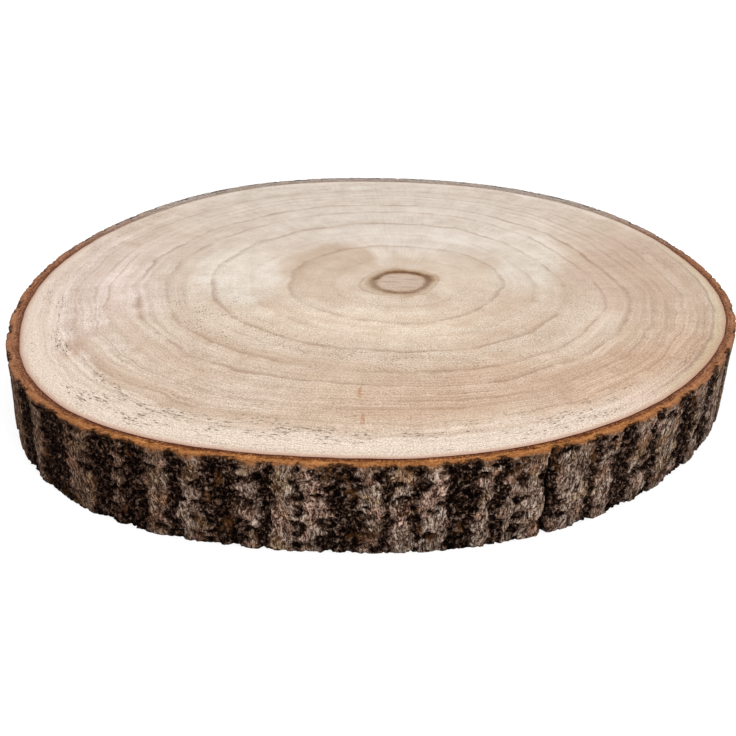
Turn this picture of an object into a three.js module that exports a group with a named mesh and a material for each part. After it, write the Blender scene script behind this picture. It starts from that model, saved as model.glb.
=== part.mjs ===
// A round slice sawn across a tree trunk, lying on its lower sawn face.
//
// The wood and the bark around it grew as one piece, so the slice is one closed solid:
// two flat, parallel sawn faces, and a side of bark plates with furrows between them.
//
// Millimetres, +Z up. The origin is under the middle of the slice, on the surface it rests on.

import * as THREE from "three";

// Driving dimensions.
const TRUNK_RADIUS = 166.3; // mean radius over the bark
const THICKNESS = 37; // between the sawn faces
const FLARE = 1.5; // how much further than the upper edge the lower edge reaches, to the left and right
const LEAN = 1.5; // how far the trunk shifts towards -X on its way down through the slice
const PLATE_COUNT = 46; // bark plates around the trunk
const FURROW_DEPTH = 1.5; // mean depth of the furrows between the plates

// Steps of the mesh: about seven columns across each bark plate.
const COLUMNS = 320;
const ROWS = 5;

const WOOD_COLOUR = 0xdac3ac;

// How the trunk is out of round: each wave goes so many times round the trunk, swells it by
// a share of its radius, and has its first crest at a turn in radians, counted from +X to +Y.
const OUT_OF_ROUND = [
  { waves: 2, share: 0.0112, crest: 0.73 },
  { waves: 3, share: 0.0142, crest: -0.28 },
  { waves: 4, share: 0.0119, crest: 0.74 },
  { waves: 5, share: 0.0019, crest: -0.18 },
  { waves: 6, share: 0.0051, crest: -0.18 },
];

// The radius over the bark plates at a turn and a height.
function trunkRadius(turn, height) {
  const swell = OUT_OF_ROUND.reduce(
    (sum, { waves, share, crest }) => sum + share * Math.cos(waves * (turn - crest)),
    0,
  );
  const down = 1 - height / THICKNESS;
  const spread = down * (FLARE * Math.cos(turn) ** 2 - LEAN * Math.cos(turn));
  return TRUNK_RADIUS * (1 + swell) + spread;
}

// How far the bark's surface dips at a turn and a height. The plates differ in width, and
// the furrows between them wander sideways as they run down the side.
function furrowDip(turn, height) {
  const down = 1 - height / THICKNESS;
  const uneven = 1.5 * Math.sin(5 * turn + 1) + 1.1 * Math.sin(13 * turn) + 0.8 * Math.sin(21 * turn + 2);
  const wander = 1.3 * down * Math.sin(9 * turn) + 0.5 * Math.sin(4 * down + 17 * turn);
  const furrow = Math.abs(Math.cos((PLATE_COUNT * turn + uneven + wander) / 2)) ** 6;
  const depth = FURROW_DEPTH * (1 + 0.35 * Math.sin(7 * turn + 2) + 0.25 * Math.sin(31 * turn));
  return depth * furrow;
}

// A plain disc turned around Z, whose profile runs from the axis out, up the side and back.
function plainDisc() {
  const profile = [new THREE.Vector2(0, 0)];
  for (let row = 0; row <= ROWS; row += 1) {
    profile.push(new THREE.Vector2(TRUNK_RADIUS, (THICKNESS * row) / ROWS));
  }
  profile.push(new THREE.Vector2(0, THICKNESS));
  const disc = new THREE.LatheGeometry(profile, COLUMNS);
  disc.rotateX(Math.PI / 2);
  return disc;
}

// The disc with every point of its side moved in or out to the trunk's bark.
function sliceGeometry() {
  const slice = plainDisc();
  const points = slice.getAttribute("position");
  for (let i = 0; i < points.count; i += 1) {
    const turn = Math.atan2(points.getY(i), points.getX(i));
    const height = points.getZ(i);
    const stretch = (trunkRadius(turn, height) - furrowDip(turn, height)) / TRUNK_RADIUS;
    points.setX(i, points.getX(i) * stretch);
    points.setY(i, points.getY(i) * stretch);
  }
  slice.computeBoundingBox();
  const middle = slice.boundingBox.getCenter(new THREE.Vector3());
  slice.translate(-middle.x, -middle.y, 0);
  slice.computeVertexNormals();
  return slice;
}

const woodSlice = new THREE.Mesh(
  sliceGeometry(),
  new THREE.MeshStandardMaterial({ color: WOOD_COLOUR, roughness: 0.75, metalness: 0 }),
);
woodSlice.name = "wood_slice";

const part = new THREE.Group();
part.add(woodSlice);

export default part;
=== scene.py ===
"""A wood slice lying flat: a disc of wood with growth rings, and the ring of bark around it."""

import math

import bpy
import numpy as np
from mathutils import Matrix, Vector, noise


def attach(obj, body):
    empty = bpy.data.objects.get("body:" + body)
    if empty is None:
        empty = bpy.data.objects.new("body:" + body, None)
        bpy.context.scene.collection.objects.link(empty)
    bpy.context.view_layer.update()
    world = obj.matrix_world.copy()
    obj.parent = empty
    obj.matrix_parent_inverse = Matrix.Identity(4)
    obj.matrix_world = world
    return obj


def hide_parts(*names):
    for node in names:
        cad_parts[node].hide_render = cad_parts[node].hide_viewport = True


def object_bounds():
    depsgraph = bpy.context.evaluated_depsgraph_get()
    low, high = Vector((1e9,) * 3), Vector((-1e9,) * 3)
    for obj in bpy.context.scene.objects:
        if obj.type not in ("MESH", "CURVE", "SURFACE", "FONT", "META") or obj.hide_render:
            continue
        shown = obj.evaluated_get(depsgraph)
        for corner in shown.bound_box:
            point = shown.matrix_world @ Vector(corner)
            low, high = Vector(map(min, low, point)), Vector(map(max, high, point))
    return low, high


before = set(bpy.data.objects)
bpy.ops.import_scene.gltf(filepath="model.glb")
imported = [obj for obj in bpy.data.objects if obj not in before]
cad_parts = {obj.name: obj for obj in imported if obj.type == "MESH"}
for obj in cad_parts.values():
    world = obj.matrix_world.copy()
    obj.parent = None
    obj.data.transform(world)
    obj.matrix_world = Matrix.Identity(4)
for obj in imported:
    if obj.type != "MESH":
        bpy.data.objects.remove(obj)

CAD_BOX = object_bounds()
MM = 0.001
TAU = 2 * math.pi

# Sizes, in metres. The trunk's outline and the sawn faces' heights come from the CAD solid in model.glb.
BASE, TOP = CAD_BOX[0].z, CAD_BOX[1].z
OUTLINE_WAVES = 9  # shorter waves round the CAD solid's edges are its furrows
BARK_THICKNESS = 5.0 * MM
BARK_THICKER_BEHIND = 2.2 * MM
BARK_THINNER_RIGHT = 1.0 * MM
BARK_PROUD = 0.3 * MM  # how far the plates stand over the outline, which runs between plate and furrow
PITH = Vector((13.8 * MM, -8.4 * MM))

# The same sizes in millimetres, for the patterns, with the radii taken as even.
HEIGHT = (TOP - BASE) / MM
BARK_RADIUS, WOOD_RADIUS = 166.0, 155.0

# Steps of the meshes.
EDGE_STEPS = 512
BARK_COLUMNS = 1500
SIDE_ROWS = 56
RIM_ROWS = 7
LOWER_RIM_ROWS = 3
WOOD_COLUMNS = 480
TOP_ROWS = 104
UNDERSIDE_ROWS = 40

# The camera stands in front of the slice and looks down at it.
CAMERA_PLACE = Vector((-2.0 * MM, -408.5 * MM, TOP + 170 * MM))
CAMERA_PITCH = math.radians(28.5)
CAMERA_LENS = 44.0
SENSOR_WIDTH = 36.0

# The studio. STUDIO_LIGHT is how bright its lights make a flat white surface.
STUDIO_LIGHT = 1.14
SKY_LIGHT = 1.0
KEY_PLACE, KEY_SIZE, KEY_POWER = (0.55, -0.9, 0.8), 0.5, 4.0
FLOOR_REACH = 8.0
FLOOR_GREY, FLOOR_GLOW = 0.35, 0.75


# --- Shapes and fields -------------------------------------------------------------------------


def smoothstep(low, high, value):
    """0 below low, 1 above high, and a smooth rise between them. With low over high it falls."""
    share = np.clip((value - low) / (high - low), 0, 1)
    return share * share * (3 - 2 * share)


def field(places, size, seed, octaves=1):
    """Noise of about -1 to 1 at places in millimetres, with bumps about size across, or (x, y, z) sizes."""
    at = places.reshape(-1, 3) / np.broadcast_to(size, 3) + 17.3 * seed
    found = [noise.fractal(place, 1.0, 2.0, octaves) for place in at.tolist()]
    return np.array(found).reshape(places.shape[:-1])


def polar(radius, turns, height):
    """Points at this radius, turn and height."""
    shape = np.broadcast(radius, turns, height).shape
    parts = radius * np.cos(turns), radius * np.sin(turns), height
    return np.stack([np.broadcast_to(part, shape) for part in parts], -1)


EVEN_TURNS = np.linspace(-math.pi, math.pi, EDGE_STEPS, endpoint=False)


def cad_edge(height):
    """The CAD solid's radius at even turns round its edge at this height, less its furrows."""
    corners = np.array([v.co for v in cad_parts["wood_slice"].data.vertices])
    reach = np.hypot(corners[:, 0], corners[:, 1])
    edge = (np.abs(corners[:, 2] - height) < 0.1 * MM) & (reach > reach.max() / 2)
    turn = np.arctan2(corners[edge, 1], corners[edge, 0])
    waves = np.fft.rfft(np.interp(EVEN_TURNS, np.sort(turn), reach[edge][np.argsort(turn)], period=TAU))
    waves[OUTLINE_WAVES + 1 :] = 0
    return np.fft.irfft(waves, EDGE_STEPS)


UPPER_EDGE, LOWER_EDGE = cad_edge(TOP), cad_edge(BASE)


def trunk_outline(turns, height):
    """The trunk's radius over the bark at these turns and heights."""
    upper = np.interp(turns, EVEN_TURNS, UPPER_EDGE, period=TAU)
    lower = np.interp(turns, EVEN_TURNS, LOWER_EDGE, period=TAU)
    return lower + (upper - lower) * (height - BASE) / (TOP - BASE)


def bark_thickness(turns):
    """How thick the bark is at these turns, from the cambium to the trunk's outline."""
    round_trunk = polar(BARK_RADIUS, turns, 0.0)
    uneven = 1 + 0.10 * field(round_trunk, 40, 1) + 0.07 * field(round_trunk, 9, 2)
    thinner = BARK_THINNER_RIGHT * smoothstep(0.75, 1.0, np.cos(turns))
    return BARK_THICKNESS * uneven + BARK_THICKER_BEHIND * smoothstep(0.3, 0.85, np.sin(turns)) - thinner


EVEN_THICKNESS = bark_thickness(EVEN_TURNS)


def cambium(turns, height):
    """The radius at which wood meets bark."""
    return trunk_outline(turns, height) - np.interp(turns, EVEN_TURNS, EVEN_THICKNESS, period=TAU)


def grid_faces(rows, columns, closed):
    """Quads of a grid that closes round its columns, and round its rows too if closed."""
    row, column = np.meshgrid(np.arange(rows if closed else rows - 1), np.arange(columns), indexing="ij")
    after_row, after_column = (row + 1) % rows, (column + 1) % columns
    corners = (row, column), (after_row, column), (after_row, after_column), (row, after_column)
    return np.stack([r * columns + c for r, c in corners], -1).reshape(-1, 4)


def set_attribute(mesh, name, kind, values):
    """Stores one value per vertex under this name: a FLOAT, a FLOAT_VECTOR or a FLOAT_COLOR."""
    key = {"FLOAT": "value", "FLOAT_VECTOR": "vector", "FLOAT_COLOR": "color"}[kind]
    attribute = mesh.attributes.new(name, kind, "POINT")
    attribute.data.foreach_set(key, np.asarray(values, np.float32).ravel())


def make_piece(name, points, faces, uvs, material):
    """A smooth mesh object riding on the slice's one body and standing for its CAD node."""
    mesh = bpy.data.meshes.new(name)
    mesh.from_pydata(points.reshape(-1, 3).tolist(), [], faces)
    layer = mesh.uv_layers.new(name="OFBake")
    layer.uv.foreach_set("vector", np.asarray(uvs, np.float32).ravel())
    mesh.polygons.foreach_set("use_smooth", np.ones(len(faces), bool))
    mesh.materials.append(material)
    piece = bpy.data.objects.new(name, mesh)
    bpy.context.scene.collection.objects.link(piece)
    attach(piece, "root")
    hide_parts("wood_slice")
    return piece


# --- Material helpers --------------------------------------------------------------------------


def colour(red, green, blue):
    """The linear colour that a flat surface needs to show these 0 to 255 values under the studio's light."""
    def linear(v):
        return v / 12.92 if v <= 0.04045 else ((v + 0.055) / 1.055) ** 2.4

    return tuple(linear(v / 255) / STUDIO_LIGHT for v in (red, green, blue)) + (1.0,)


class Nodes:
    """A new material's node tree, with a short call for each kind of node that is used here."""

    def __init__(self, name):
        self.material = bpy.data.materials.new(name)
        self.material.use_nodes = True
        self.tree = self.material.node_tree
        self.shader = self.tree.nodes["Principled BSDF"]

    def join(self, value, socket):
        """Links a socket to this one, or sets it to a value."""
        if isinstance(value, bpy.types.NodeSocket):
            self.tree.links.new(value, socket)
        else:
            socket.default_value = value

    def new(self, kind, inputs, **settings):
        """A node with these settings, its inputs linked to sockets or set to values."""
        node = self.tree.nodes.new(kind)
        for key, value in settings.items():
            setattr(node, key, value)
        for key, value in inputs.items():
            self.join(value, node.inputs[key])
        return node

    def read(self, name, output="Fac"):
        """A value stored on the mesh."""
        return self.new("ShaderNodeAttribute", {}, attribute_name=name).outputs[output]

    def maths(self, operation, a, b=0.0):
        return self.new("ShaderNodeMath", {0: a, 1: b}, operation=operation).outputs[0]

    def add(self, *values):
        """The sum of these values."""
        total = values[0]
        for value in values[1:]:
            total = self.maths("ADD", total, value)
        return total

    def times(self, *values):
        """The product of these values."""
        total = values[0]
        for value in values[1:]:
            total = self.maths("MULTIPLY", total, value)
        return total

    def range(self, value, low, high, to_low=0.0, to_high=1.0, smooth=True):
        """The value carried from low and high to to_low and to_high, and held at those beyond them."""
        inputs = {"Value": value, 1: low, 2: high, 3: to_low, 4: to_high}
        kind = "SMOOTHSTEP" if smooth else "LINEAR"
        return self.new("ShaderNodeMapRange", inputs, interpolation_type=kind).outputs[0]

    def around(self, value, reach):
        """Noise of 0.25 to 0.75 carried to -reach and +reach."""
        return self.range(value, 0.25, 0.75, -reach, reach, smooth=False)

    def scaled(self, vector, scale):
        return self.new("ShaderNodeVectorMath", {0: vector, 1: scale}, operation="MULTIPLY").outputs[0]

    def raised(self, vector, height):
        """The vector with this much added to its height."""
        up = self.new("ShaderNodeCombineXYZ", {"Z": height}).outputs[0]
        return self.new("ShaderNodeVectorMath", {0: vector, 1: up}, operation="ADD").outputs[0]

    def noise(self, vector, per_mm, detail=2.0, roughness=0.5, distortion=0.0):
        """Noise of 0 to 1 around 0.5, with per_mm bumps to the millimetre, or (x, y, z) numbers of them."""
        if not isinstance(per_mm, float):
            vector, per_mm = self.scaled(vector, per_mm), 1.0
        inputs = {"Scale": per_mm, "Detail": detail, "Roughness": roughness, "Distortion": distortion}
        return self.new("ShaderNodeTexNoise", {"Vector": vector, **inputs}).outputs["Fac"]

    def ramp(self, factor, stops):
        """A colour ramp whose stops are (place, grey or colour) pairs."""
        node = self.new("ShaderNodeValToRGB", {"Fac": factor})
        elements = node.color_ramp.elements
        elements.remove(elements[1])
        for i, (place, shade) in enumerate(stops):
            element = elements[0] if i == 0 else elements.new(place)
            element.position = place
            element.color = shade if isinstance(shade, tuple) else (shade, shade, shade, 1)
        return node.outputs["Color"]

    def mix(self, factor, a, b, blend="MIX"):
        node = self.new("ShaderNodeMix", {}, data_type="RGBA", blend_type=blend)
        for key, value in {0: factor, 6: a, 7: b}.items():
            self.join(value, node.inputs[key])
        return node.outputs[2]

    def shade(self, base, light, browner=0.0):
        """The base colour times a grey of this value, or times a brown if it is to brown as it darkens."""
        parts = [light] + [self.maths("POWER", light, 1 + browner * times) for times in (1, 2)]
        grey = self.new("ShaderNodeCombineColor", dict(enumerate(parts))).outputs[0]
        return self.mix(1.0, base, grey, "MULTIPLY")

    def finish(self, base_colour, roughness, relief, depth, strength, specular):
        """The material, with a bump of this relief whose full height is depth."""
        bump = self.new("ShaderNodeBump", {"Height": relief, "Distance": depth, "Strength": strength})
        self.join(base_colour, self.shader.inputs["Base Color"])
        self.join(roughness, self.shader.inputs["Roughness"])
        self.join(bump.outputs[0], self.shader.inputs["Normal"])
        self.shader.inputs["Specular IOR Level"].default_value = specular
        return self.material


# --- Wood --------------------------------------------------------------------------------------

# Rings that stand out: place as a share of the way from the pith to the cambium, width, darkness.
RINGS = [
    (0.120, 0.004, 0.65),
    (0.205, 0.006, 0.28),
    (0.318, 0.007, 0.62),
    (0.415, 0.008, 0.26),
    (0.510, 0.007, 0.70),
    (0.625, 0.007, 0.55),
    (0.700, 0.007, 0.75),
    (0.780, 0.005, 0.50),
    (0.815, 0.005, 0.50),
    (0.872, 0.005, 0.45),
]

PITH_RING = 0.080  # the dark ring round the pith, as the same share
FINE_RINGS = 74  # the thin rings between the pith and the cambium

# The rings are rounder than the trunk's outline, by waves round the pith: how many of each, their
# reach as a share, and a crest's turn in degrees.
RING_WAVES = [(1, 0.008, 93), (2, 0.023, -32), (3, 0.012, -51), (4, 0.008, -12)]

# Broad stains on the upper face: centre and reach in millimetres, turn in degrees, colour, strength.
WOOD_BASE = colour(219, 198, 177)
STAINS = [
    ((0, 105), (150, 95), 0, colour(222, 207, 193), 1.0),
    ((-128, -20), (38, 85), 0, colour(228, 207, 194), 1.0),
    ((-88, 10), (28, 70), 0, colour(220, 202, 185), 0.7),
    ((-60, -2), (22, 46), 10, colour(233, 220, 205), 1.0),
    ((126, 0), (34, 72), 0, colour(204, 178, 157), 1.0),
    ((76, 20), (20, 50), -14, colour(230, 217, 202), 0.9),
    ((34, 52), (60, 26), 0, colour(232, 219, 206), 1.0),
    ((112, -98), (72, 32), 45, colour(204, 171, 144), 1.0),
    ((-124, -82), (15, 6), 57, colour(204, 172, 152), 0.9),
    ((34, -112), (75, 30), 12, colour(212, 182, 156), 0.9),
    ((-70, -105), (45, 24), -35, colour(217, 194, 173), 0.7),
    ((-18, 18), (34, 24), 20, colour(208, 184, 160), 0.8),
    ((-8, -56), (74, 26), -6, colour(231, 210, 187), 0.8),
    ((2, 30), (8, 24), 14, colour(232, 217, 202), 0.9),
]
SAPWOOD = colour(235, 215, 197)
SAPWOOD_MIDDLE = math.radians(-112)  # the turn round which the pale sapwood shows most
GREENER_TURN = math.radians(-16)  # the turn round which a yellowish inner bark shows beside the rim

# Small rusty marks on the upper face: place and half size in millimetres.
RUST_MARKS = [((-5, -114), (1.0, 4.0)), ((-4, -134), (1.0, 4.8))]


def pith_shape(turns):
    """The radius of the pith's dark ring round the pith's centre, a little squarish and tilted."""
    tilt = turns - math.radians(18)
    oval = 12.6 * MM / (1 + 0.10 * np.sin(tilt) ** 2)
    return oval * (1 + 0.035 * np.cos(4 * tilt) + 0.02 * np.sin(3 * turns))


def cambium_reach(turns, height):
    """How far the cambium lies from the pith along these ways out of it."""
    start = np.array([PITH.x, PITH.y])
    way = np.stack([np.cos(turns), np.sin(turns)], -1)
    reach = np.full(turns.shape, 0.15)
    for _ in range(12):  # each step comes closer to the cambium
        at = start + way * reach[:, None]
        reach += cambium(np.arctan2(at[:, 1], at[:, 0]), height) - np.linalg.norm(at, axis=-1)
    return reach


def ring_wander(turns, share):
    """How much further out than its place on the outline's own shape the ring there lies."""
    waves = sum(reach * np.cos(times * (turns - math.radians(crest))) for times, reach, crest in RING_WAVES)
    return waves * smoothstep(0.15, 0.60, share) * smoothstep(0.99, 0.76, share)


def wood_stains(places):
    """The wood's broad colours at places in millimetres from the middle of the slice."""
    flat = np.zeros(places.shape[:-1])
    warp = np.stack([field(places, 45, 21), field(places, 45, 22), flat], -1)
    warp += 0.4 * np.stack([field(places, 12, 23), field(places, 12, 24), flat], -1)
    x, y, _ = np.moveaxis(places + 14 * warp, -1, 0)
    made = np.broadcast_to(WOOD_BASE, places.shape[:-1] + (4,)).copy()
    for (cx, cy), (rx, ry), degrees, shade, strength in STAINS:
        a = math.radians(degrees)
        along = (x - cx) * math.cos(a) + (y - cy) * math.sin(a)
        across = (y - cy) * math.cos(a) - (x - cx) * math.sin(a)
        weight = strength * smoothstep(1.25, 0.35, np.hypot(along / rx, across / ry))[..., None]
        made = made * (1 - weight) + np.array(shade) * weight
    return made


def wood_relief(share, places):
    """How far the sawn face lies below the cut, in metres: the pith stands in by a hair, as does the rim."""
    pith_line = np.exp(-(((share - PITH_RING) / 0.008) ** 2))
    groove = smoothstep(0.994, 1.0, share)
    return MM * (0.18 * pith_line + 0.3 * groove + 0.03 * (1 + field(places, (60, 2.5, 9), 31)))


def ring_lines(n, ring, place):
    """The rings that stand out, each darkest at its outer side and stronger in some places than in others."""
    stops = [(0.0, 0.0)]
    for where, width, dark in RINGS:
        stops += [(where - 2.2 * width, 0.0), (where, dark), (where + 0.7 * width, 0.0)]
    lines = n.ramp(ring, stops)
    return n.times(lines, n.range(n.noise(place, 0.06, 3.0, 0.6), 0.35, 0.62, 0.25, 1.0))


def wood_pores(n, grain, ring, sapwood):
    """Short dark dashes along the rings: rows of them in the sapwood, a few clusters elsewhere."""
    cells = n.new("ShaderNodeTexVoronoi", {"Vector": n.scaled(grain, (0.38, 0.38, 1.25)), "Scale": 1.0})
    dash = n.range(cells.outputs["Distance"], 0.20, 0.40, 1.0, 0.0)
    lot = n.new("ShaderNodeSeparateColor", {0: cells.outputs["Color"]}).outputs[0]
    clusters = n.range(n.noise(grain, (0.05, 0.05, 0.2), 2.0), 0.44, 0.58)
    streaks = n.range(n.noise(grain, (0.22, 0.22, 1.7), 3.0, 0.7), 0.53, 0.63)
    stops = [
        (0.0, 0.0), (0.2, 0.15), (0.44, 0.4), (0.49, 0.9), (0.60, 0.9), (0.64, 0.4),
        (0.86, 0.4), (0.895, 0.9), (0.966, 1.0), (0.976, 0.5), (0.985, 0.0),
    ]
    band = n.times(n.ramp(ring, stops), n.range(sapwood, 0.0, 1.0, 0.42, 1.0))
    rows = n.times(streaks, n.range(ring, 0.875, 0.90), n.range(ring, 0.978, 0.966))
    return n.times(n.add(n.times(dash, n.range(lot, 0.3, 0.4)), n.times(rows, 0.8)), clusters, band)


def rust_marks(n, place):
    """1 in the small rusty marks."""
    total = 0.0
    for (x, y), (wide, long) in RUST_MARKS:
        corner = {0: place, 1: (x, y, TOP / MM)}
        offset = n.new("ShaderNodeVectorMath", corner, operation="SUBTRACT").outputs[0]
        offset = n.scaled(offset, (1 / wide, 1 / long, 0.5))
        away = n.new("ShaderNodeVectorMath", {0: offset}, operation="LENGTH").outputs["Value"]
        ragged = n.add(away, n.around(n.noise(place, 0.9, 2.0), 0.7))
        total = n.add(total, n.range(ragged, 1.2, 0.5))
    return total


def rim_bands(n, surface, place, ring, wobbled, layers, thin, grainy):
    """The surface with its bands beside the bark: pale sapwood, yellowish inner bark, a thin pink line."""
    edge = n.range(n.add(wobbled, n.around(layers, 0.02)), 0.893, 0.93)
    light = n.add(1.0, n.around(layers, 0.06), n.times(thin, 0.4), grainy)
    surface = n.mix(n.times(edge, n.read("sapwood"), 0.85), surface, n.shade(SAPWOOD, light, 0.2))

    # On the right a thin grey seam parts the wood from the inner bark.
    right = n.read("right")
    near_rim = n.add(ring, n.around(n.noise(place, 0.10, 2.0), 0.004))
    seam = n.times(n.range(near_rim, 0.957, 0.965), n.range(near_rim, 0.975, 0.967), right)
    surface = n.mix(n.times(seam, 0.5), surface, colour(158, 132, 112))
    inner_bark = n.times(n.range(near_rim, 0.969, 0.976), right)
    yellowish = n.shade(colour(208, 189, 154), n.add(1.0, grainy))
    surface = n.mix(n.times(inner_bark, 0.5), surface, yellowish)
    return n.mix(n.range(ring, 0.984, 0.999, 0.0, 0.75), surface, colour(196, 152, 128))


def pith(n, surface, place, ring, grainy):
    """The surface with the pith: a brown ring with a soft halo outside it, round a pinkish middle."""
    large, small = n.noise(place, 0.1, 1.0), n.noise(place, 0.45, 2.0)
    uneven = n.add(ring, n.around(small, 0.004), n.around(large, 0.006))
    light = n.add(1.0, grainy)
    streaks = n.range(n.noise(place, (0.08, 0.5, 1.0), 2.0), 0.45, 0.65)
    middle = n.mix(streaks, colour(208, 184, 163), colour(184, 158, 142))
    halo = n.ramp(uneven, [
        (0.060, colour(208, 184, 163)), (0.072, colour(184, 150, 120)), (0.081, colour(112, 74, 42)),
        (0.090, colour(118, 82, 48)), (0.101, colour(178, 146, 112)), (0.128, colour(210, 186, 160)),
    ])
    heart = n.mix(n.range(uneven, 0.060, 0.070), n.shade(middle, light), n.shade(halo, light))
    dark_side = n.range(n.noise(place, 0.07, 1.0), 0.35, 0.65, 0.7, 1.0)
    return n.mix(n.times(n.range(uneven, 0.128, 0.098), dark_side), surface, heart)


def wood_material():
    n = Nodes("sawn_wood")
    place, grain = n.read("place", "Vector"), n.read("grain", "Vector")
    ring, front = n.read("ring"), n.read("front")

    # A ring is a colour ramp, a wave or a long noise of the way out from the pith, which wobbles a little.
    wobble = n.add(
        n.around(n.noise(place, 0.03, 1.0), 0.010), n.around(n.noise(place, 0.10, 2.0), 0.006),
        n.around(n.noise(place, 0.4, 1.0), 0.0009),
    )
    wobbled = n.add(ring, wobble)
    along = n.raised(grain, n.times(wobble, WOOD_RADIUS))
    lines = ring_lines(n, wobbled, place)
    bands = n.noise(along, (0.003, 0.003, 0.09), 2.0)
    layers = n.noise(along, (0.004, 0.004, 0.36), 2.0, 0.6)
    thin = n.maths("SINE", n.add(n.times(wobbled, FINE_RINGS * TAU), n.around(bands, 9.0)))
    thin = n.times(thin, n.range(front, -0.2, 0.9, -0.03, -0.10))
    outer = n.ramp(wobbled, [(0.0, 0.15), (0.45, 0.25), (0.66, 0.7), (0.76, 1.0), (1.0, 1.0)])
    patchy = n.range(n.noise(place, 0.05, 2.0), 0.35, 0.65, 0.35, 1.0)
    clearer_in_front = n.range(front, -0.8, 0.1, 0.4, 1.0)
    ringed = n.times(n.add(n.around(layers, 0.15), thin), outer, patchy, clearer_in_front)

    # Speckle, rays running out from the pith, mottling, and straight lines left by the saw.
    speckle = n.noise(place, 1.6, 3.0, 0.75)
    grainy = n.times(n.around(speckle, 0.50), n.range(front, -0.9, 0.8, 0.2, 1.0))
    mottle = n.around(n.noise(place, 0.10, 3.0, 0.6), 0.10)
    ray_ring = n.ramp(ring, [(0.13, 0.0), (0.22, 0.6), (0.30, 0.5), (0.36, 0.0)])
    ray_strength = n.add(0.5, n.times(ray_ring, n.range(front, -0.5, -0.9)))
    rays = n.times(n.around(n.noise(along, (0.45, 0.45, 0.06), 3.0), 0.09), ray_strength)
    saw = n.noise(place, (0.012, 0.8, 1.0), 2.0, 0.6)
    saw_lines = n.times(n.around(saw, 0.05), n.range(front, -0.5, 0.8))
    light = n.add(1.0, n.around(bands, 0.09), ringed, grainy, mottle, rays, saw_lines)
    surface = n.shade(n.read("stain", "Color"), light, 0.25)
    warm = n.range(n.noise(along, (0.01, 0.01, 0.10), 2.0), 0.42, 0.70, 0.0, 0.30)
    warm = n.times(warm, n.range(front, -0.8, 0.6, 0.25, 1.0))
    surface = n.mix(warm, surface, colour(198, 163, 133))
    surface = rim_bands(n, surface, place, ring, wobbled, layers, thin, grainy)
    surface = pith(n, surface, place, ring, grainy)

    # The rings that stand out, the pores and the rusty marks lie over all of this.
    surface = n.mix(n.times(lines, 0.8), surface, colour(146, 108, 76))
    pores = wood_pores(n, grain, wobbled, n.read("sapwood"))
    surface = n.mix(n.times(pores, 0.82), surface, colour(104, 82, 62))
    surface = n.mix(n.times(rust_marks(n, place), 0.5), surface, colour(170, 108, 62))

    relief = n.add(n.times(speckle, 0.5), n.times(saw, 0.8), n.times(pores, -1.0), n.times(lines, -0.6))
    roughness = n.range(speckle, 0.2, 0.8, 0.62, 0.78, smooth=False)
    return n.finish(surface, roughness, relief, 0.12 * MM, 0.5, specular=0.25)


def wood_points(turns, share, upper):
    """The places of the wood's rings of points, on the upper face or on the underside."""
    near = pith_shape(turns) / PITH_RING
    far = np.where(upper[:, None], cambium_reach(turns, TOP), cambium_reach(turns, BASE))
    blend = smoothstep(0.05, 0.62, share)[:, None]
    radius = share[:, None] * (near * (1 - blend) + far * blend)
    flat = polar(radius, turns, 0.0) + np.array([PITH.x, PITH.y, 0.0])
    below = np.where(upper, 0.0, 70.0)[:, None, None]  # gives the underside a pattern of its own
    sunk = wood_relief(share[:, None], flat / MM + below)
    flat[..., 2] = np.where(upper[:, None], TOP - sunk, BASE + sunk)
    return flat


def wood_map(points, quads, fans, top_rows):
    """The map: the upper face as a large disc, the underside as a small one, the hidden side as a strip."""
    flat = points[:, :2] / (1.01 * np.abs(points[:, :2]).max())
    large = np.array([0.41, 0.59]) + 0.40 * flat
    small = np.array([0.81, 0.19]) + 0.178 * flat
    corners = np.concatenate([quads.ravel(), fans.ravel()])
    row_of = np.repeat(np.arange(len(quads) // WOOD_COLUMNS), 4 * WOOD_COLUMNS)
    upper = np.concatenate([row_of < top_rows - 1, np.repeat([True, False], 3 * WOOD_COLUMNS)])
    uvs = np.where(upper[:, None], large[corners], small[corners])

    step = np.tile([[0, 0], [0, 1], [1, 1], [1, 0]], (WOOD_COLUMNS, 1))
    along = (np.repeat(np.arange(WOOD_COLUMNS), 4) + step[:, 0]) / WOOD_COLUMNS
    strip = np.stack([0.001 + 0.60 * along, 0.001 + 0.006 * step[:, 1]], -1)
    uvs[np.flatnonzero(row_of == top_rows - 1)] = strip
    return uvs


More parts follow.
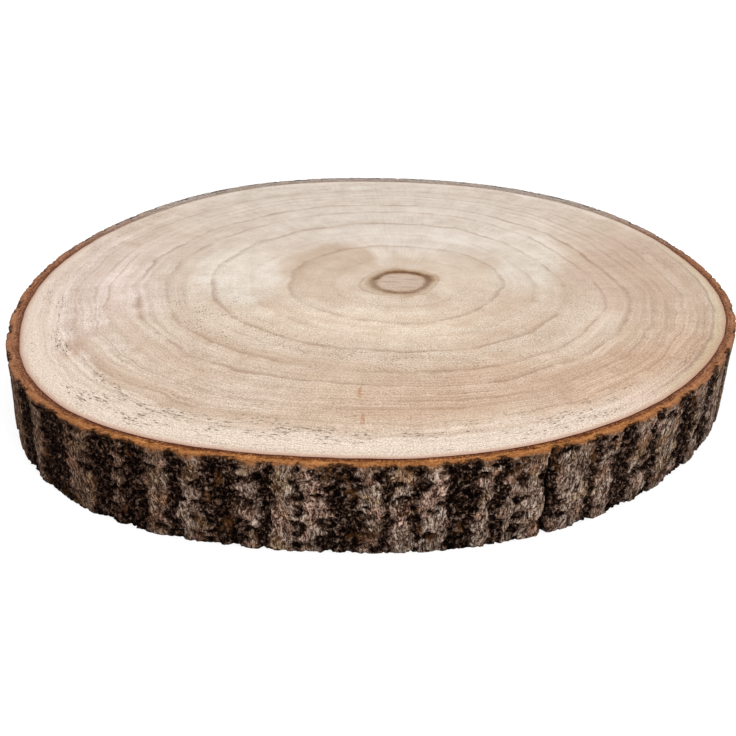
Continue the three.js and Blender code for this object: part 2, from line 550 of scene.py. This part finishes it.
def wood_piece():
    """The disc of wood, from the middle of its upper face out to the bark, down, and back below."""
    turns = np.linspace(-math.pi, math.pi, WOOD_COLUMNS, endpoint=False)
    ends = np.array([0.985, 0.991, 0.996, 1.0])
    top = np.concatenate([np.linspace(0.004, 0.98, TOP_ROWS), ends])
    under = np.concatenate([ends[::-1], np.linspace(0.98, 0.01, UNDERSIDE_ROWS)])
    share = np.concatenate([top, under])
    rows = len(share)
    grid = wood_points(turns, share, np.arange(rows) < len(top))
    middles = np.array([[PITH.x, PITH.y, TOP], [PITH.x, PITH.y, BASE]])
    points = np.concatenate([grid.reshape(-1, 3), middles])

    # Quads between the rows, and a fan of triangles round the middle of each face.
    quads = grid_faces(rows, WOOD_COLUMNS, closed=False)
    column = np.arange(WOOD_COLUMNS)
    after = (column + 1) % WOOD_COLUMNS
    last = (rows - 1) * WOOD_COLUMNS
    middle = np.full(WOOD_COLUMNS, rows * WOOD_COLUMNS)
    upper_fan = np.stack([middle, column, after], -1)
    lower_fan = np.stack([middle + 1, last + after, last + column], -1)
    fans = np.concatenate([upper_fan, lower_fan])
    uvs = wood_map(points, quads, fans, len(top))
    piece = make_piece("wood", points, quads.tolist() + fans.tolist(), uvs, wood_material())

    ring = share[:, None] - ring_wander(turns, share[:, None])
    ring = np.concatenate([ring.ravel(), [0, 0]])
    turned = np.concatenate([np.tile(turns, rows), [0, 0]])
    values = {
        "ring": ring,
        "front": -np.sin(turned),
        "sapwood": smoothstep(0.1, 0.7, np.cos(turned - SAPWOOD_MIDDLE)),
        "right": smoothstep(0.75, 0.95, np.cos(turned - GREENER_TURN)),
    }
    for name, value in values.items():
        set_attribute(piece.data, name, "FLOAT", value)
    grain = polar(WOOD_RADIUS, turned, WOOD_RADIUS * ring)
    set_attribute(piece.data, "grain", "FLOAT_VECTOR", grain)
    set_attribute(piece.data, "place", "FLOAT_VECTOR", points / MM)
    set_attribute(piece.data, "stain", "FLOAT_COLOR", wood_stains(points / MM))
    return piece


# --- Bark --------------------------------------------------------------------------------------

# Dark, rough furrows: turn in degrees, half width in millimetres, and how closely clumps fill them.
FURROWS = [
    (-176, 3.5, 0.9), (-168, 5.0, 1.0), (-159, 5.4, 1.0), (-150, 5.2, 1.0), (-141, 5.8, 1.1),
    (-133, 7.0, 1.1), (-124.5, 4.4, 1.0), (-119.8, 4.8, 1.1), (-114.5, 3.4, 0.8), (-108.4, 7.0, 1.2),
    (-103.4, 3.2, 0.7), (-99, 2.4, 0.4), (-93.8, 5.8, 1.1), (-88.6, 3.0, 0.6), (-85, 2.4, 0.4),
    (-79.3, 5.4, 1.1), (-75, 3.0, 0.8), (-72, 2.2, 0.3), (-68.2, 3.0, 0.9), (-61.8, 3.4, 0.5),
    (-56.5, 4.6, 1.0), (-51, 3.6, 0.9), (-43, 6.2, 1.0), (-36.3, 4.2, 1.0), (-28.5, 3.8, 1.0),
    (-21, 3.6, 0.9), (-14, 4.0, 1.0), (-6, 3.4, 0.9),
]
LAST_LISTED, NEXT_LISTED = 0.0, 180.0  # other furrows stand between these turns
DEEP_CRACK = -68.2
# The turn round which shade is painted on the bark's left side.
LEFT_SHADE_TURN = math.radians(-160)
LOOSE_CLUMPS = 420
MM_PER_DEGREE = BARK_RADIUS * math.pi / 180
CRACK_DEPTH = 3.4  # in millimetres, as are the depths below
DEEPEST = 3.6
# The black shade painted into hollows darkens with depth, measured against this one.
FULL_SHADE_DEPTH = 2.8


def all_furrows(draw):
    """The listed furrows, and others like them round the rest of the trunk."""
    made = list(FURROWS)
    turn = LAST_LISTED
    while turn < NEXT_LISTED:
        half = draw.choice([2.4, 3.4, 4.4, 5.8])
        made.append((turn, half, 1.0 if half > 3 else draw.uniform(0.4, 0.8)))
        turn += 1.9 + half / MM_PER_DEGREE + draw.uniform(0.6, 4.6)
    return made


def clumps():
    """The lens-shaped clumps of rough bark: turn, level, half width, half height and strength of each."""
    draw = np.random.default_rng(11)
    made = []
    for degrees, half, fill in all_furrows(draw):
        level = draw.uniform(-2.0, 1.0)
        while level < HEIGHT + 2:
            rise = draw.uniform(1.3, 2.9)
            for _ in range(2 if half > 4 else 1):
                turn = degrees + draw.normal(0, 0.28 * half) / MM_PER_DEGREE
                wide = half * draw.uniform(0.55, 1.15)
                made.append((turn, level, wide, rise, 1.0))
            level += rise * draw.uniform(0.7, 1.2) / fill
    for _ in range(LOOSE_CLUMPS):
        wide = draw.uniform(1.4, 3.6)
        place = draw.uniform(-180, 180), draw.uniform(0, HEIGHT)
        made.append((*place, wide, wide * draw.uniform(0.3, 0.55), draw.uniform(0.7, 1.2)))
    return made


def clump_mask(turns, height, places):
    """1 inside the rough clumps, 0 on the plates between them."""
    fine = field(places, (2.3, 2.3, 1.8), 43, 2)
    wander = 2.6 * field(places, (15, 15, 13), 40) + 1.5 * field(places, (5, 5, 6), 41)
    across = BARK_RADIUS * turns + wander + 0.7 * fine
    up = height + 0.8 * field(places, 4, 42) + 0.5 * fine
    mask = np.zeros(turns.shape)
    column_turn = np.degrees(turns[0])
    for degrees, level, wide, rise, strength in clumps():
        near = np.abs((column_turn - degrees + 180) % 360 - 180) < (wide * 1.6 + 5) / MM_PER_DEGREE
        side = (across[:, near] / MM_PER_DEGREE - degrees + 180) % 360 - 180
        lens = (side * MM_PER_DEGREE / wide) ** 2 + np.abs(up[:, near] - level) / rise
        mask[:, near] = np.maximum(mask[:, near], strength * smoothstep(1.6, 0.6, lens))
    return mask


def bark_fields(turns, height):
    """How deep the bark's surface lies in metres, its rough share, and how much black shade to paint in its
    hollows.
    """
    places = polar(BARK_RADIUS, turns, height)
    rough = clump_mask(turns, height, places)
    crumbs = 0.5 + 0.5 * field(places, (2.2, 2.2, 2.4), 51, 3)
    pits = smoothstep(0.82, 1.0, 1 - np.abs(field(places, (4.0, 4.0, 5.0), 52, 2)))
    fibres = field(places, (1.4, 1.4, 8), 53, 2)
    swell = field(places, (9, 9, 20), 54)
    plate = 0.25 * (1 - swell) + 0.22 * fibres
    depth = plate * (1 - rough) + (0.2 + 1.5 * crumbs + 1.1 * pits) * rough
    wander = 0.8 * field(places, (30, 30, 7), 55)
    away = ((np.degrees(turns) - DEEP_CRACK + 180) % 360 - 180) * MM_PER_DEGREE
    crack = smoothstep(1.4, 0.5, np.abs(away + wander))

    # The relief is shallower at the cut, and chips are broken out of both edges.
    edge_keeps = 1 - 0.6 * smoothstep(HEIGHT - 4.0, HEIGHT, height)
    depth = np.maximum(depth, CRACK_DEPTH * crack) * edge_keeps
    near_edge = np.minimum(1.4 * height, HEIGHT - height)
    chips = smoothstep(2.0, 0.0, near_edge) * smoothstep(0.05, 0.6, field(places, 2.6, 56, 2))
    depth = np.clip(depth + 0.7 * chips, 0, DEEPEST)
    return MM * depth, rough, np.clip(np.maximum(depth / FULL_SHADE_DEPTH, crack), 0, 1)


def sawn_bark(n, place, skin):
    """The cut edge of the bark: a dark line at the wood, a speckled layer, then orange out to the edge."""
    across, behind, aside = n.read("across"), n.read("behind"), n.read("aside")
    coarse, fine = n.noise(place, 0.45, 3.0, 0.65), n.noise(place, 1.2, 3.0, 0.75)
    outward = n.raised(skin, n.times(across, BARK_THICKNESS / MM))
    streaks = n.noise(outward, (0.10, 0.10, 1.3), 3.0, 0.6)
    layer = n.add(across, n.around(coarse, 0.16), n.around(streaks, 0.14))
    cut = n.ramp(layer, [
        (0.0, colour(110, 60, 40)), (0.14, colour(120, 68, 42)), (0.28, colour(140, 86, 54)),
        (0.45, colour(164, 106, 62)), (0.62, colour(188, 124, 72)), (0.85, colour(186, 124, 74)),
        (1.0, colour(166, 110, 68)),
    ])
    cut = n.mix(n.times(aside, 0.85), cut, colour(166, 116, 88))
    cut = n.mix(behind, cut, colour(178, 162, 150))
    light = n.add(1.0, n.around(fine, 0.55), n.around(coarse, 0.15), n.around(streaks, 0.35))
    cut = n.shade(cut, light, 0.25)

    # Dark specks, most of them near the wood, and the dark line. Both fade behind.
    specks = n.range(n.noise(place, 1.3, 3.0, 0.7), 0.48, 0.56)
    amount = n.ramp(layer, [
        (0.0, 0.6), (0.14, 0.9), (0.38, 0.8), (0.5, 0.35), (0.65, 0.15), (0.9, 0.2), (1.0, 0.5),
    ])
    specks = n.times(specks, amount, n.range(behind, 0, 1, 1.0, 0.15))
    cut = n.mix(specks, cut, colour(78, 38, 22))
    dark = n.range(n.add(across, n.around(fine, 0.12)), 0.24, 0.10, 0.0, 0.85)
    dark = n.times(dark, n.range(behind, 0, 1, 1.0, 0.1), n.range(aside, 0, 1, 1.0, 0.45))
    cut = n.mix(dark, cut, colour(86, 42, 27))

    # The clumps that reach the cut bite into its edge.
    bitten = n.add(n.read("rough"), n.around(coarse, 0.6), n.around(fine, 0.45))
    return n.mix(n.range(bitten, 0.80, 0.90, 0.0, 0.85), cut, colour(44, 26, 17))


def bark_plates(n, place, skin, fibres, flecks):
    """Plates: slanting fibres and flecks in taupe and grey, with shade painted along crooked creases, and
    tinted patches.
    """
    plate = n.ramp(n.add(n.times(fibres, 0.65), n.times(flecks, 0.35)), [
        (0.39, colour(16, 7, 4)), (0.445, colour(56, 39, 30)), (0.49, colour(104, 84, 71)),
        (0.53, colour(154, 133, 118)), (0.58, colour(193, 174, 159)), (0.65, colour(222, 208, 194)),
    ])
    # Shade painted along thin crooked creases.
    bend = n.noise(skin, (0.22, 0.22, 0.085), 3.0, 0.65, 0.8)
    crease_shade = n.range(n.maths("ABSOLUTE", n.add(bend, -0.5)), 0.0, 0.022, 0.9, 0.0)
    plate = n.mix(crease_shade, plate, colour(34, 19, 11))
    darker = n.range(n.noise(place, (0.16, 0.16, 0.12), 3.0, 0.65), 0.51, 0.64, 0.0, 0.65)
    pinker = n.range(n.noise(place, 0.12, 2.0), 0.48, 0.62)
    yellower = n.range(n.noise(skin, 0.10, 2.0), 0.52, 0.64)
    plate = n.mix(darker, plate, (0.40, 0.32, 0.27, 1), "MULTIPLY")
    plate = n.mix(pinker, plate, (1.04, 0.90, 0.88, 1), "MULTIPLY")
    return n.mix(yellower, plate, (1.0, 0.92, 0.74, 1), "MULTIPLY")


def bark_clumps(n, crumbs):
    """Clumps: crumbling brown-black bark with paler crumbs in it."""
    return n.ramp(crumbs, [
        (0.43, colour(4, 1, 0)), (0.495, colour(20, 9, 5)), (0.54, colour(54, 36, 26)),
        (0.585, colour(100, 78, 65)), (0.65, colour(150, 130, 118)),
    ])


def frayed_edge(n, surface, place, rough, level, flecks):
    """The surface with the bark's inner fibres just under the cut, orange and then brown, off the clumps."""
    ragged = n.noise(place, 0.35, 3.0, 0.7)
    fray = n.add(level, n.around(ragged, 1.8), n.around(flecks, 1.2), n.times(rough, -2.6))
    brown = n.range(fray, HEIGHT - 4.0, HEIGHT - 1.5, 0.0, 0.35)
    surface = n.mix(brown, surface, colour(126, 90, 62))
    orange = n.shade(colour(168, 112, 68), n.add(0.5, flecks))
    return n.mix(n.range(fray, HEIGHT - 1.1, HEIGHT - 0.1, 0.0, 0.85), surface, orange)


def bark_material():
    n = Nodes("tree_bark")
    place, skin = n.read("place", "Vector"), n.read("skin", "Vector")
    rough, recess_shade, level = n.read("rough"), n.read("recess_shade"), n.read("level")
    fibres = n.noise(skin, (0.85, 0.85, 0.28), 4.0, 0.72, 1.4)
    flecks = n.noise(place, 1.1, 4.0, 0.78)
    crumbs = n.noise(place, (0.60, 0.60, 0.55), 5.0, 0.75, 0.5)

    # The clumps have a browner fringe. Rusty patches lie over clumps and plates, and black shade is painted
    # into the deep hollows.
    fringe = n.noise(place, 0.28, 2.0, 0.6)
    edge = n.add(rough, n.around(crumbs, 0.4), n.around(fringe, 0.35), n.around(flecks, 0.2))
    surface = bark_plates(n, place, skin, fibres, flecks)
    surface = n.mix(n.range(edge, 0.08, 0.42, 0.0, 0.55), surface, colour(58, 40, 30))
    surface = n.mix(n.range(edge, 0.40, 0.58), surface, bark_clumps(n, crumbs))
    rust = n.range(n.noise(place, (0.15, 0.15, 0.10), 3.0), 0.60, 0.68)
    rust = n.times(rust, n.range(flecks, 0.42, 0.56), 0.55)
    surface = n.mix(rust, surface, colour(116, 74, 38))
    # Black shade painted into the deep hollows and the crack.
    surface = n.mix(n.range(recess_shade, 0.5, 0.95, 0.0, 0.9), surface, colour(5, 2, 1))
    surface = frayed_edge(n, surface, place, rough, level, flecks)

    # Painted shade: darker towards the floor and a little lighter higher up.
    surface = n.shade(surface, n.range(level, 0.0, 11.0, 0.76, 1.06))
    # Painted shade on the bark's left side, which browns and darkens the bark there.
    surface = n.mix(n.read("left_side_shade"), surface, (0.55, 0.46, 0.40, 1), "MULTIPLY")

    final = n.mix(n.read("cut"), surface, sawn_bark(n, place, skin))
    relief = n.add(n.times(fibres, 0.7), n.times(crumbs, n.add(0.3, rough)))
    roughness = n.range(flecks, 0.2, 0.8, 0.80, 0.95, smooth=False)
    return n.finish(final, roughness, relief, 0.8 * MM, 1.0, specular=0.02)


def bark_map(rows, columns, lengths):
    """The map: the ring unrolled and cut into equal strips, one above the other."""
    strips = 5
    down = np.concatenate([[0], np.cumsum(lengths)]) / lengths.sum()
    row, column = np.divmod(np.arange(rows * columns), columns)
    strip, local = np.divmod(column, columns // strips)
    corner = np.array([[0, 0], [1, 0], [1, 1], [0, 1]])
    u = 0.003 + 0.994 * (local[:, None] + corner[:, 1]) / (columns // strips)
    v = (strip[:, None] + 0.015 + 0.97 * down[row[:, None] + corner[:, 0]]) / strips
    return np.stack([u, v], -1)


def sawn_rim(rows, turns, height, edge, shift):
    """Rows from the cambium nearly to the edge: shares of the way, radii and dips. shift moves the crumbs."""
    shares = np.linspace(0, 1, rows, endpoint=False)[:, None]
    inner = cambium(turns, height)
    places = polar(BARK_RADIUS - 6 + 6 * shares, turns, shift)
    crumble = 0.22 * MM * np.abs(field(places, 1.6, 61, 2))
    dip = 0.3 * MM * smoothstep(0.12, 0.0, shares) + crumble * smoothstep(0.0, 0.3, shares)
    return np.broadcast_to(shares, dip.shape), inner + shares * (edge - inner), dip


def bark_piece():
    """The ring of bark: across its upper rim, down its side, back along its lower rim, and up inside."""
    turns = np.linspace(-math.pi, math.pi, BARK_COLUMNS, endpoint=False)
    level, turn = np.meshgrid(np.linspace(TOP, BASE, SIDE_ROWS), turns, indexing="ij")
    side_level = (level - BASE) / MM
    depth, rough, recess_shade = bark_fields(turn, side_level)
    outer = trunk_outline(turn, level) + BARK_PROUD - depth
    upper_share, upper, upper_dip = sawn_rim(RIM_ROWS, turns, TOP, outer[0], 0.0)
    lower_share, lower, lower_dip = sawn_rim(LOWER_RIM_ROWS, turns, BASE, outer[-1], 50.0)
    radius = np.concatenate([upper, outer, lower[::-1]])
    height = np.concatenate([TOP - upper_dip, level, (BASE + lower_dip)[::-1]])
    points = polar(radius, turns, height)

    thick = BARK_THICKNESS / MM
    lengths = np.concatenate([
        np.full(RIM_ROWS, thick / RIM_ROWS), np.full(SIDE_ROWS - 1, HEIGHT / (SIDE_ROWS - 1)),
        np.full(LOWER_RIM_ROWS, thick / LOWER_RIM_ROWS), [0.5],
    ])
    faces = grid_faces(*radius.shape, closed=True)
    piece = make_piece("bark", points, faces.tolist(), bark_map(*radius.shape, lengths), bark_material())

    def along_section(above, on_side, below):
        """A value for each point, from those on the upper rim, on the side and on the lower rim."""
        parts = (above, upper), (on_side, outer), (below, lower)
        return np.concatenate([np.broadcast_to(value, part.shape) for value, part in parts])

    cut = along_section(1.0, 0.0, 1.0)
    cut[RIM_ROWS] = 1  # the side's own top row, at the edge
    values = {
        "rough": along_section(rough[0] * smoothstep(0.3, 1.0, upper_share), rough, 0.0),
        # the mask for black shade painted into the hollows
        "recess_shade": along_section(0.0, recess_shade, 0.0),
        "level": along_section(HEIGHT, side_level, HEIGHT),
        "across": along_section(upper_share, 1.0, lower_share[::-1]),
        "cut": cut,
        # shade painted on the bark's left side
        "left_side_shade": smoothstep(0.45, 0.95, np.cos(turns - LEFT_SHADE_TURN)),
        "behind": smoothstep(0.05, 0.75, np.sin(turns)),
        "aside": smoothstep(0.45, 0.95, np.abs(np.cos(turns))),
    }
    for name, value in values.items():
        set_attribute(piece.data, name, "FLOAT", np.broadcast_to(value, cut.shape))

    # The skin is the side's places, sheared to and fro so that the fibres slant.
    places = points / MM
    slant = 14.0 * field(places, (14, 14, 60), 62) * (places[..., 2] / HEIGHT - 0.5)
    slant += 1.5 * field(places, 6, 63)
    skin = polar(BARK_RADIUS, turns + slant / BARK_RADIUS, places[..., 2])
    set_attribute(piece.data, "place", "FLOAT_VECTOR", places)
    set_attribute(piece.data, "skin", "FLOAT_VECTOR", skin)
    return piece


# --- Stage, lights and camera ------------------------------------------------------------------


def area_light(name, place, size, power):
    lamp = bpy.data.lights.new(name, "AREA")
    lamp.shape, lamp.size, lamp.energy = "DISK", size, power
    holder = bpy.data.objects.new(name, lamp)
    bpy.context.scene.collection.objects.link(holder)
    holder.location = place
    holder.rotation_euler = (-Vector(place)).to_track_quat("-Z", "Y").to_euler()


def stage():
    """A pale floor that glows softly, under even light from all round and a weak lamp at the front right."""
    mesh = bpy.data.meshes.new("floor")
    square = (-1, -1), (1, -1), (1, 1), (-1, 1)
    mesh.from_pydata([(FLOOR_REACH * x, FLOOR_REACH * y, 0) for x, y in square], [], [(0, 1, 2, 3)])
    floor = bpy.data.objects.new("floor", mesh)
    bpy.context.scene.collection.objects.link(floor)
    floor.location.z = BASE - 0.1 * MM
    paint = bpy.data.materials.new("pale_floor")
    paint.use_nodes = True
    shader = paint.node_tree.nodes["Principled BSDF"]
    shader.inputs["Base Color"].default_value = (FLOOR_GREY, FLOOR_GREY, FLOOR_GREY, 1)
    shader.inputs["Emission Color"].default_value = (1, 1, 1, 1)
    shader.inputs["Emission Strength"].default_value = FLOOR_GLOW
    shader.inputs["Roughness"].default_value = 0.9
    shader.inputs["Specular IOR Level"].default_value = 0.0
    mesh.materials.append(paint)

    world = bpy.data.worlds.new("studio")
    world.use_nodes = True
    background = world.node_tree.nodes["Background"]
    background.inputs["Color"].default_value = (1, 1, 1, 1)
    background.inputs["Strength"].default_value = SKY_LIGHT
    bpy.context.scene.world = world
    area_light("key", KEY_PLACE, KEY_SIZE, KEY_POWER)
    bpy.context.scene.view_settings.view_transform = "Standard"


def camera():
    data = bpy.data.cameras.new("camera")
    data.lens, data.sensor_width = CAMERA_LENS, SENSOR_WIDTH
    data.clip_start = 0.01
    holder = bpy.data.objects.new("camera", data)
    bpy.context.scene.collection.objects.link(holder)
    holder.location = CAMERA_PLACE
    holder.rotation_euler = (math.pi / 2 - CAMERA_PITCH, 0, 0)
    bpy.context.scene.camera = holder


wood_piece()
bark_piece()
stage()
camera()
